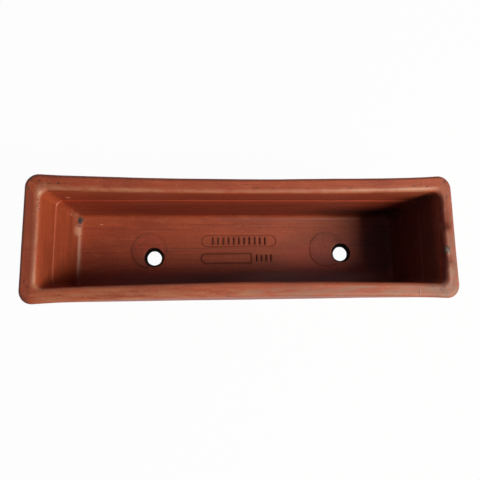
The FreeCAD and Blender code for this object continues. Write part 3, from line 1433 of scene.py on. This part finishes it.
    def spotted(
        self, tree: Tree, place: Socket,
        colour: Socket, dull: Socket,
    ) -> tuple[Socket, Socket]:
        """Lay every single spot over the clay, with its edge broken up by noise.

        Args:
            tree: the material's nodes.
            place: the point on the object.
            colour: the colour so far.
            dull: how far the clay has lost its gloss so far.

        Returns:
            The new colour and the new dullness.
        """
        wander = add_node(tree, "TexNoise", {
            "Vector": place, "Scale": 1 / (self.wander_mm * MM), "Detail": self.wander_detail,
        }).outputs["Color"]
        for spot in self.spots:
            moved = add_node(tree, "VectorMath", {
                0: wander, 1: [2 * spot.ragged_mm * MM] * 3, 2: place,
            }, operation="MULTIPLY_ADD").outputs[0]
            offset = add_node(tree, "VectorMath", {
                0: moved, 1: [(value + spot.ragged_mm) * MM for value in spot.place],
            }, operation="SUBTRACT").outputs[0]
            shrunk = add_node(tree, "VectorMath", {
                0: offset, 1: [reach * MM for reach in spot.reach],
            }, operation="DIVIDE").outputs[0]
            apart = add_node(tree, "VectorMath", {0: shrunk}, operation="LENGTH").outputs["Value"]
            share = add_node(tree, "MapRange", {
                "Value": apart, "From Min": spot.core, "From Max": 1.0,
                "To Min": spot.strength, "To Max": 0.0,
            }, interpolation_type="SMOOTHSTEP").outputs[0]
            if spot.grain_mm:
                grain = blotches(tree, place, spot.grain_mm, self.grain_detail, self.grain_roughness)
                share = add_node(tree, "MapRange", {
                    "Value": grain,
                    "From Min": self.grain_from, "From Max": self.grain_full, "To Max": share,
                }).outputs[0]
            if spot.dull:
                dull = add_node(tree, "Math", {
                    0: share, 1: spot.dull, 2: dull,
                }, operation="MULTIPLY_ADD").outputs[0]
            colour = add_node(tree, "Mix", {
                0: share, 6: colour, 7: linear(spot.colour),
            }, data_type="RGBA").outputs[2]
        return colour, dull


@dataclass(frozen=True)
class BorePaintedShade:
    """Painted shade on the rough wall of a drain hole: black and dead matt, in crumbs of two tones."""

    black: str = "#0A0503"
    brown: str = "#1A0D08"
    crumb_mm: float = 1.6
    crumb_detail: float = 3.0
    roughness: float = 1.0
    specular_level: float = 0.05
    bump_mm: float = 0.3

    def material(self) -> bpy.types.Material:
        """Build the material.

        Returns:
            Crumbs of two near-black tones.
        """
        made = bpy.data.materials.new("bore_painted_shade")
        tree = fresh_tree(made)
        place = add_node(tree, "TexCoord").outputs["Object"]
        crumbs = add_node(tree, "TexNoise", {
            "Vector": place, "Scale": 1 / (self.crumb_mm * MM), "Detail": self.crumb_detail,
        }).outputs["Fac"]
        colour = add_node(tree, "Mix", {
            0: crumbs, 6: linear(self.black), 7: linear(self.brown),
        }, data_type="RGBA").outputs[2]
        bump = add_node(tree, "Bump", {"Distance": self.bump_mm * MM, "Height": crumbs}).outputs[0]
        shader = add_node(tree, "BsdfPrincipled", {
            "Base Color": colour, "Roughness": self.roughness,
            "Specular IOR Level": self.specular_level, "Normal": bump,
        })
        add_node(tree, "OutputMaterial", {"Surface": shader})
        return made


def spots_of_use_and_light(at: TroughLevels) -> tuple[Spot, ...]:
    """List the stains, scuffs and pits of this trough, and its patches of painted shade, sheen and
    highlight.

    Args:
        at: the trough's levels.

    Returns:
        The spots, in the order in which they lie over each other.
    """
    rim, floor = at.top, at.floor
    dark, damp_and_shade, dust = "#2A1A16", "#5A2A1E", "#8C7A66"
    # x, y, height; reach along each; colour, strength, raggedness; then core, grain and dullness
    rows: tuple[tuple[Any, ...], ...] = (
        # Painted light and shade: the back wall redder, as bounced light makes it, and darker low down;
        # its right end darkened in the right wall's shadow, and the floor's right end darkened in shade
        (0, 43.5, 70, 215, 8, 60, "#8E2612", 0.4, 2.0, 0.8),
        (0, 43.0, 44, 200, 7, 32, "#5A1A0E", 0.4, 2.0, 0.6),
        (175, 43, 34, 132, 9, 36, "#1C0C08", 0.8, 3.0, 0.1),
        (168, 0, floor, 26, 44, 11, "#2C201C", 0.45, 3.0, 0.5),
        # Painted sheen: a pale grey-pink tone along the front rim and a greyer one on the right rim,
        # where the lamps' reflection lies; painted shade over the left end of the rim; a scuff in the
        # back left corner
        (-90, -52.5, rim, 140, 8, 6, "#B07A58", 0.42, 1.0, 0.6, (22, 4, 4)),
        (112, -52.0, rim, 150, 8, 6, "#88604C", 0.72, 1.0, 0.6, (22, 4, 4)),
        (194, 24, rim, 9, 40, 6, "#7A5440", 0.3, 1.0, 0.8, (3, 9, 3)),
        (194, -20, rim, 9, 32, 6, "#70503E", 0.5, 1.0, 0.6, (3, 7, 3)),
        (188, -40, rim, 24, 30, 6, "#665040", 0.42, 2.0, 0.5, (5, 5, 5)),
        (180, -51, rim, 30, 12, 6, "#54403A", 0.2, 2.0, 0.4),
        (-194, -10, rim, 9, 62, 6, "#5A2416", 0.3, 2.0, 0.7),
        (-184, 44, rim - 2, 9, 9, 6, "#A88468", 0.45, 2.0, 0.35, (2.5, 2.5, 2.5)),
        # Painted shade over the front of the floor, where the front wall's shadow falls: dark grey at
        # the left, paler grey-pink on the right; then a redder patch round the right disc
        (0, -36, floor, 190, 14, 10, "#6A4C42", 0.5, 2.0, 0.4),
        (80, -35, floor, 110, 14, 10, "#B07E6E", 0.55, 2.0, 0.3),
        (92, -10, floor, 56, 24, 6, "#B4452C", 0.5, 2.0, 0.4),
        # Punch discs: a shade darker and cooler than the floor round them
        (*LEFT_DISC, floor, 20.4, 20.4, 4, "#702A20", 0.35, 1.0, 0.9),
        (*RIGHT_DISC, floor, 20.4, 20.4, 4, "#702A20", 0.35, 1.0, 0.9),
        (LEFT_DISC[0], 4.0, floor, 18, 16, 4, "#A8432C", 0.7, 2.0, 0.7, (5, 5, 5)),
        (RIGHT_DISC[0], 4.0, floor, 18, 16, 4, "#A8432C", 0.7, 2.0, 0.7, (5, 5, 5)),
        # Faint line where the press's plunger met the middle of the floor
        (-60, 2.6, floor, 110, 0.9, 3, damp_and_shade, 0.45, 0.3),
        (55, 2.4, floor, 45, 0.8, 3, damp_and_shade, 0.45, 0.3),
        (25.6, 27.0, floor, 6.5, 0.7, 3, damp_and_shade, 0.75, 0.3),
        (24.5, 29.6, floor, 5.5, 0.6, 3, damp_and_shade, 0.5, 0.3),
        # Limescale ring, mud and run-off in the back left corner of the floor
        (-185.0, 31.0, floor + 8, 9, 20, 18, "#A8694C", 0.5, 3.0, 0.35, (4, 5, 5)),
        (-183.0, 41.0, floor + 16, 5, 6, 13, "#B88270", 0.8, 3.0, 0.35, (3, 3, 3)),
        (-184.5, 23.0, floor + 5, 7, 9, 14, "#B07E66", 0.8, 3.0),
        # A pale line down the cove of the left end: run-off, and a painted highlight along the cove
        (-181.6, 0.0, floor + 1, 2.2, 38, 4, "#A87C68", 0.6, 0.8),
        # Mud, crust and limescale in the back left corner
        (-182.4, 36.2, floor, 6.4, 8.2, 7, damp_and_shade, 0.8, 1.5),
        (-182.0, 35.8, floor, 4.4, 6.4, 6, "#231A1C", 0.95, 1.2, 0.55, None, 0.5),
        (-183.6, 40.2, floor + 5, 2.6, 1.8, 7, dark, 0.75, 1.4),
        (-178.6, 37.0, floor + 2, 2.2, 2.6, 6, dark, 0.6, 1.4),
        (-181.8, 28.6, floor + 4, 2.8, 1.5, 7, dark, 0.7, 0.9),
        (-185.0, 39.8, floor + 30, 5, 1.5, 8, "#D09A84", 0.6, 0.8),
        (-185.0, 37.0, floor + 27, 5, 1.3, 6, "#C48C76", 0.5, 0.8),
        (-184.0, 42.6, floor + 16, 5, 1.5, 6, "#D09A84", 0.6, 0.8),
        # Pale flecks on the floor and the back wall
        (-157.4, 30.9, floor, 2.6, 0.7, 2, "#C98A72", 0.9, 0.2),
        (-170.2, 43.5, rim - 28, 3.2, 4, 3.0, "#CC8C78", 0.9, 0.2),
        (-172.4, 43.5, rim - 34.5, 3.4, 4, 2.2, "#B87460", 0.5, 0.2),
        # Painted bounced light: a redder band along the right rim's inner edge, which turns away from
        # the lamps; a chip of grey grog in it; and soiling along that rim
        (188.4, -4.0, rim - 3.2, 4.2, 62, 4.4, "#84301F", 0.8, 0.8, 0.6),
        (190.2, -13.7, rim - 1, 3.6, 5.0, 5, "#33211B", 0.85, 1.2, 0.55),
        (189.4, -13.2, rim - 1, 1.7, 3.4, 5, "#6E6454", 0.85, 0.9, 0.4),
        (194.1, 7.2, rim, 1.8, 2.6, 3, damp_and_shade, 0.3, 0.8),
        (193.6, -25.3, rim, 3.4, 1.4, 3, damp_and_shade, 0.65, 0.8),
        (196.4, -27.5, rim, 2.0, 1.6, 3, damp_and_shade, 0.55, 0.8),
        (192.0, -35.0, rim, 4.5, 6.5, 5, dust, 0.28, 2.5),
        # Wear, pits and specks round the rim
        (-187.2, 34.6, rim, 1.3, 1.4, 3, damp_and_shade, 0.85, 0.5),
        (-186.4, 31.4, rim, 1.1, 1.5, 3, damp_and_shade, 0.85, 0.5),
        (-187.3, 28.6, rim, 1.2, 1.2, 3, damp_and_shade, 0.85, 0.5),
        (-186.0, 26.2, rim - 1, 1.3, 1.2, 3, damp_and_shade, 0.75, 0.5),
        (-188.0, 23.0, rim, 0.9, 1.0, 3, damp_and_shade, 0.75, 0.4),
        (167.0, 42.4, rim - 2, 14, 1.6, 3, dust, 0.6, 0.9),
        (192.7, 52.3, rim, 1.6, 1.6, 4, dark, 0.8, 0.5),
        (193.9, 37.4, rim, 1.8, 2.6, 3, damp_and_shade, 0.6, 0.8),
        (175.3, 47.6, rim, 1.3, 1.0, 3, dark, 0.85, 0.4),
        (162.5, 48.4, rim, 3.4, 0.9, 3, damp_and_shade, 0.75, 0.6),
        (169.6, 50.2, rim, 1.5, 0.8, 3, damp_and_shade, 0.6, 0.5),
        (9.5, 45.6, rim, 5.4, 0.8, 3, dark, 0.6, 0.4),
        (26.0, 45.0, rim, 2.6, 0.7, 3, damp_and_shade, 0.7, 0.4),
        (99.5, 46.0, rim, 3.4, 0.8, 3, damp_and_shade, 0.8, 0.4),
        (-147.0, 55.4, rim - 1, 2.4, 1.2, 4, dark, 0.75, 0.4),
        (-186.6, 51.7, rim, 1.3, 1.3, 3, dark, 0.8, 0.5),
        (-169.7, 49.5, rim, 1.6, 1.3, 3, dark, 0.8, 0.5),
        (-178.1, 49.2, rim, 1.4, 1.2, 3, damp_and_shade, 0.8, 0.5),
        (-196.0, 45.0, rim, 1.7, 3.0, 4, "#4A3A24", 0.7, 0.8),
        (-194.3, 53.6, rim - 1, 3.2, 3.2, 4, "#43321F", 0.6, 1.2),
        (-191.8, -43.6, rim, 1.3, 1.8, 3, damp_and_shade, 0.85, 0.6),
        (-194.6, -38.3, rim, 1.2, 1.6, 3, damp_and_shade, 0.8, 0.6),
        (-16.5, -53.9, rim, 2.2, 1.4, 3, "#5E4740", 0.8, 0.5),
        (-164.2, -50.9, rim, 2.2, 1.2, 3, damp_and_shade, 0.5, 0.6),
        # Hairline drying crack across the front rim, a scar beside it and a pale fleck
        (159.6, -52.8, rim, 0.6, 5.2, 3, dark, 0.8, 0.4),
        (160.7, -52.8, rim, 0.6, 4.6, 3, "#C99580", 0.3, 0.4),
        (182.5, -49.9, rim, 4.2, 4.2, 4, damp_and_shade, 0.35, 1.2),
        (180.4, -50.8, rim, 1.1, 1.3, 3, damp_and_shade, 0.85, 0.5),
        (183.8, -48.6, rim, 1.6, 0.9, 3, damp_and_shade, 0.85, 0.5),
        (182.0, -53.0, rim, 1.6, 0.8, 3, damp_and_shade, 0.75, 0.5),
        (173.1, -48.0, rim, 3.6, 0.7, 3, damp_and_shade, 0.55, 0.4),
    )
    return tuple(Spot(row[:3], row[3:6], *row[6:]) for row in rows)


def seen_directly(tree: Tree, kinds: tuple[str, ...]) -> Socket:
    """Tell rays that see a surface or the room as it is from light that falls on things.

    Args:
        tree: the nodes that need to know.
        kinds: names of the light path's outputs that count as seeing.

    Returns:
        A value of 1 for such a ray, and 0 for any other.
    """
    path = add_node(tree, "LightPath").outputs
    seen: Any = 0.0
    for kind in kinds:
        seen = add_node(tree, "Math", {0: seen, 1: path[kind]}, operation="MAXIMUM").outputs[0]
    return seen


@dataclass(frozen=True)
class PaperSweep:
    """Matt white background paper: bright to the eye, with a faint shadow of the trough on it."""

    paper: str = "#BCBCBC"
    glow: float = 0.97

    def material(self) -> bpy.types.Material:
        """Build the material.

        Returns:
            Paper that glows white for camera, glossy and transmission rays alone.
        """
        made = bpy.data.materials.new("paper_sweep")
        tree = fresh_tree(made)
        seen = seen_directly(tree, ("Is Camera Ray", "Is Glossy Ray", "Is Transmission Ray"))
        matt = add_node(tree, "BsdfDiffuse", {"Color": linear(self.paper)})
        white = add_node(tree, "Emission", {"Color": (1, 1, 1, 1), "Strength": 1.0})
        share = add_node(tree, "Math", {0: seen, 1: self.glow}, operation="MULTIPLY")
        surface = add_node(tree, "MixShader", {0: share, 1: matt, 2: white})
        add_node(tree, "OutputMaterial", {"Surface": surface})
        return made


# ---- Light and camera ----


@dataclass(frozen=True)
class SoftBox:
    """A rectangular studio lamp that looks at the trough, its long side along the trough."""

    name: str
    place: Triple
    size: Pair
    power: float
    tint: str
    aim: Triple = (0.0, 0.0, 60.0)

    def hang(self) -> None:
        """Add the lamp to the scene."""
        lamp = bpy.data.lights.new(self.name, "AREA")
        lamp.shape = "RECTANGLE"
        lamp.size, lamp.size_y = self.size[0] * MM, self.size[1] * MM
        lamp.energy = self.power
        lamp.color = linear(self.tint)[:3]
        hung = bpy.data.objects.new(self.name, lamp)
        outwards = (Vector(self.place) - Vector(self.aim)).normalized()
        along = (Vector((1, 0, 0)) - outwards * outwards.x).normalized()
        turn = Matrix((along, outwards.cross(along), outwards)).transposed()
        hung.matrix_world = Matrix.Translation(Vector(self.place) * MM) @ turn.to_4x4()
        bpy.context.scene.collection.objects.link(hung)


@dataclass(frozen=True)
class Studio:
    """White paper under the trough, soft lamps, and a dim room with a white cove at eye level."""

    lamps: tuple[SoftBox, ...]
    floor_half: float = 3000.0
    under_feet: float = 0.2
    dim_sky: float = 0.2
    sky_tint: str = "#B8D4F4"
    horizon_glow: float = 0.3
    glow_reach: float = 0.35
    cove_reach: float = 0.3

    def set_up(self) -> None:
        """Lay the paper, hang the lamps and light the surroundings."""
        plan = self.floor_half * np.array([[-1, -1], [1, -1], [1, 1], [-1, 1]])
        corners = np.column_stack([plan, np.full(4, -self.under_feet)])
        paper = mesh_object("paper_floor", corners, [(0, 1, 2, 3)])
        paper.data.materials.append(PaperSweep().material())
        for lamp in self.lamps:
            lamp.hang()
        self.surround()

    def surround(self) -> None:
        """Make the room: a dim fill for the clay, and white where it is seen directly.

        A glossy surface sees the white cove near the horizon, and the dim ceiling over it.
        """
        world = bpy.data.worlds.new("white_room")
        bpy.context.scene.world = world
        tree = fresh_tree(world)
        direction = add_node(tree, "TexCoord").outputs["Generated"]
        up = add_node(tree, "SeparateXYZ", {0: direction}).outputs["Z"]
        level = add_node(tree, "MapRange", {
            "Value": up, "From Min": 0.0, "From Max": self.glow_reach,
            "To Min": self.horizon_glow, "To Max": self.dim_sky,
        }, interpolation_type="SMOOTHSTEP").outputs[0]
        low = add_node(tree, "Math", {0: up, 1: self.cove_reach}, operation="LESS_THAN").outputs[0]
        mirrored = add_node(tree, "Math", {
            0: seen_directly(tree, ("Is Glossy Ray",)), 1: low,
        }, operation="MULTIPLY").outputs[0]
        seen = add_node(tree, "Math", {
            0: mirrored, 1: seen_directly(tree, ("Is Camera Ray", "Is Transmission Ray")),
        }, operation="MAXIMUM").outputs[0]
        room = add_node(tree, "Background", {"Color": linear(self.sky_tint), "Strength": level})
        white = add_node(tree, "Background", {"Color": (1, 1, 1, 1), "Strength": 1.0})
        mixed = add_node(tree, "MixShader", {0: seen, 1: room, 2: white})
        add_node(tree, "OutputWorld", {"Surface": mixed})


@dataclass(frozen=True)
class PhotoCamera:
    """The camera above the trough, a little left of its middle and in front of it."""

    place_over_rim: Triple = (-32.9, -58.5, 375.7)
    tilt_degrees: Triple = (-8.352, 4.076, 0.301)
    focal_share: float = 0.8682
    sensor_width: float = 36.0
    nearest: float = 10.0

    def stand(self, rim_top: float) -> None:
        """Put the camera in place.

        Args:
            rim_top: height of the rim, in millimetres.
        """
        lens = bpy.data.cameras.new("photo_camera")
        lens.sensor_width = self.sensor_width
        lens.sensor_fit = "HORIZONTAL"
        lens.lens = self.focal_share * self.sensor_width
        lens.clip_start = self.nearest * MM
        turn_x, turn_y, turn_z = (
            Matrix.Rotation(math.radians(degrees), 3, axis)
            for degrees, axis in zip(self.tilt_degrees, "XYZ")
        )
        facing = (turn_z @ turn_y @ turn_x).transposed()
        x, y, z = self.place_over_rim
        stand = bpy.data.objects.new("photo_camera", lens)
        stand.matrix_world = Matrix.Translation(Vector((x, y, z + rim_top)) * MM) @ facing.to_4x4()
        bpy.context.scene.collection.objects.link(stand)
        bpy.context.scene.camera = stand


def clay_pieces(at: TroughLevels) -> list[ClayPiece]:
    """List the trough's visible pieces.

    Args:
        at: the trough's levels.

    Returns:
        The body, the foot bars, and the raised lines on the floor.
    """
    surface = ClaySurface(lumps=(
        # Ragged inner edge of the right rim: a long dip, a torn notch, the chip and two swellings
        Lump((189.5, 20.0, at.top - 3), (4.5, 12.0, 6.0), -1.4),
        Lump((190.0, 10.0, at.top - 3), (4.5, 4.2, 6.0), -3.0),
        Lump((189.0, -13.8, at.top - 1), (2.8, 4.6, 3.0), 0.9),
        Lump((190.0, -21.5, at.top - 3), (4.0, 5.0, 5.0), -1.3),
        Lump((188.0, -38.0, at.top - 3), (4.0, 8.0, 5.0), 0.9),
        Lump((188.5, 33.0, at.top - 3), (4.0, 5.0, 5.0), -0.8),
        # Dirt crust in the corner of the floor
        Lump((-182.0, 35.8, at.floor), (3.0, 4.2, 3.0), 0.8),
    ))
    left_hole = DrainHole(-97.7, -7.5, lean=-1.0)
    right_hole = DrainHole(122.5, -3.9, lean=2.4)
    fine = Ridge(1.6, 0.6, at.floor, surface, dirt_and_shade=0.7)
    faint = Ridge(1.5, 0.6, at.floor, surface, dirt_and_shade=0.35)
    line = Ridge(1.7, 1.0, at.floor, surface, dirt_and_shade=0.6)
    bar = Ridge(2.3, 1.4, at.floor, surface, dirt_and_shade=0.85)
    body_nodes = ("front_rim", "back_rim", "left_rim", "right_rim",
                  "front_wall", "back_wall", "left_wall", "right_wall", "floor")
    return [
        Trough(
            name="trough_body", nodes=body_nodes, at=at, surface=surface, holes=(left_hole, right_hole),
        ),
        FootBar(name="left_foot", nodes=("left_foot_bar",)),
        FootBar(name="right_foot", nodes=("right_foot_bar",)),
        DiscRing(name="left_disc_ring", middle=LEFT_DISC, hole=left_hole, ridge=fine),
        DiscRing(name="right_disc_ring", middle=RIGHT_DISC, hole=right_hole, ridge=fine),
        FloorMark(
            name="upper_mark", nodes=("upper_floor_mark",), outline_length=88.0,
            left_end=MarkEnd.ROUND, right_end=MarkEnd.ROUND,
            bars=BarRow(11, 6.1, 9.0, ends_at_mark_end=False), line=faint, bar=bar,
        ),
        FloorMark(
            name="lower_mark", nodes=("lower_floor_mark",), outline_length=60.0,
            left_end=MarkEnd.ROUND, right_end=MarkEnd.SQUARE,
            bars=BarRow(4, 5.6, 8.5, ends_at_mark_end=True), line=line, bar=bar,
        ),
    ]


def main() -> None:
    """Build the trough and its details, dress them, and set up the studio."""
    logging.basicConfig(level=logging.INFO, format="%(message)s")
    bpy.context.scene.view_settings.view_transform = "Standard"
    at = TroughLevels.from_frame()
    PhotoCamera().stand(at.top)
    clay = PressedTerracotta(spots=spots_of_use_and_light(at)).material()
    for piece in clay_pieces(at):
        piece.dress(clay)
    Studio(lamps=(
        SoftBox("key", (1030.0, -412.0, 1144.0), (918.0, 450.0), 31.0, tint="#FFF8E8"),
        SoftBox("low_front", (1288.0, -1338.0, 743.0), (1865.0, 1072.0), 18.0, tint="#FFF4DC"),
        SoftBox("back_fill", (-454.0, 1496.0, 1247.0), (1865.0, 1456.0), 2.2, tint="#FFFFFF"),
    )).set_up()


if __name__ == "__main__":
    main()
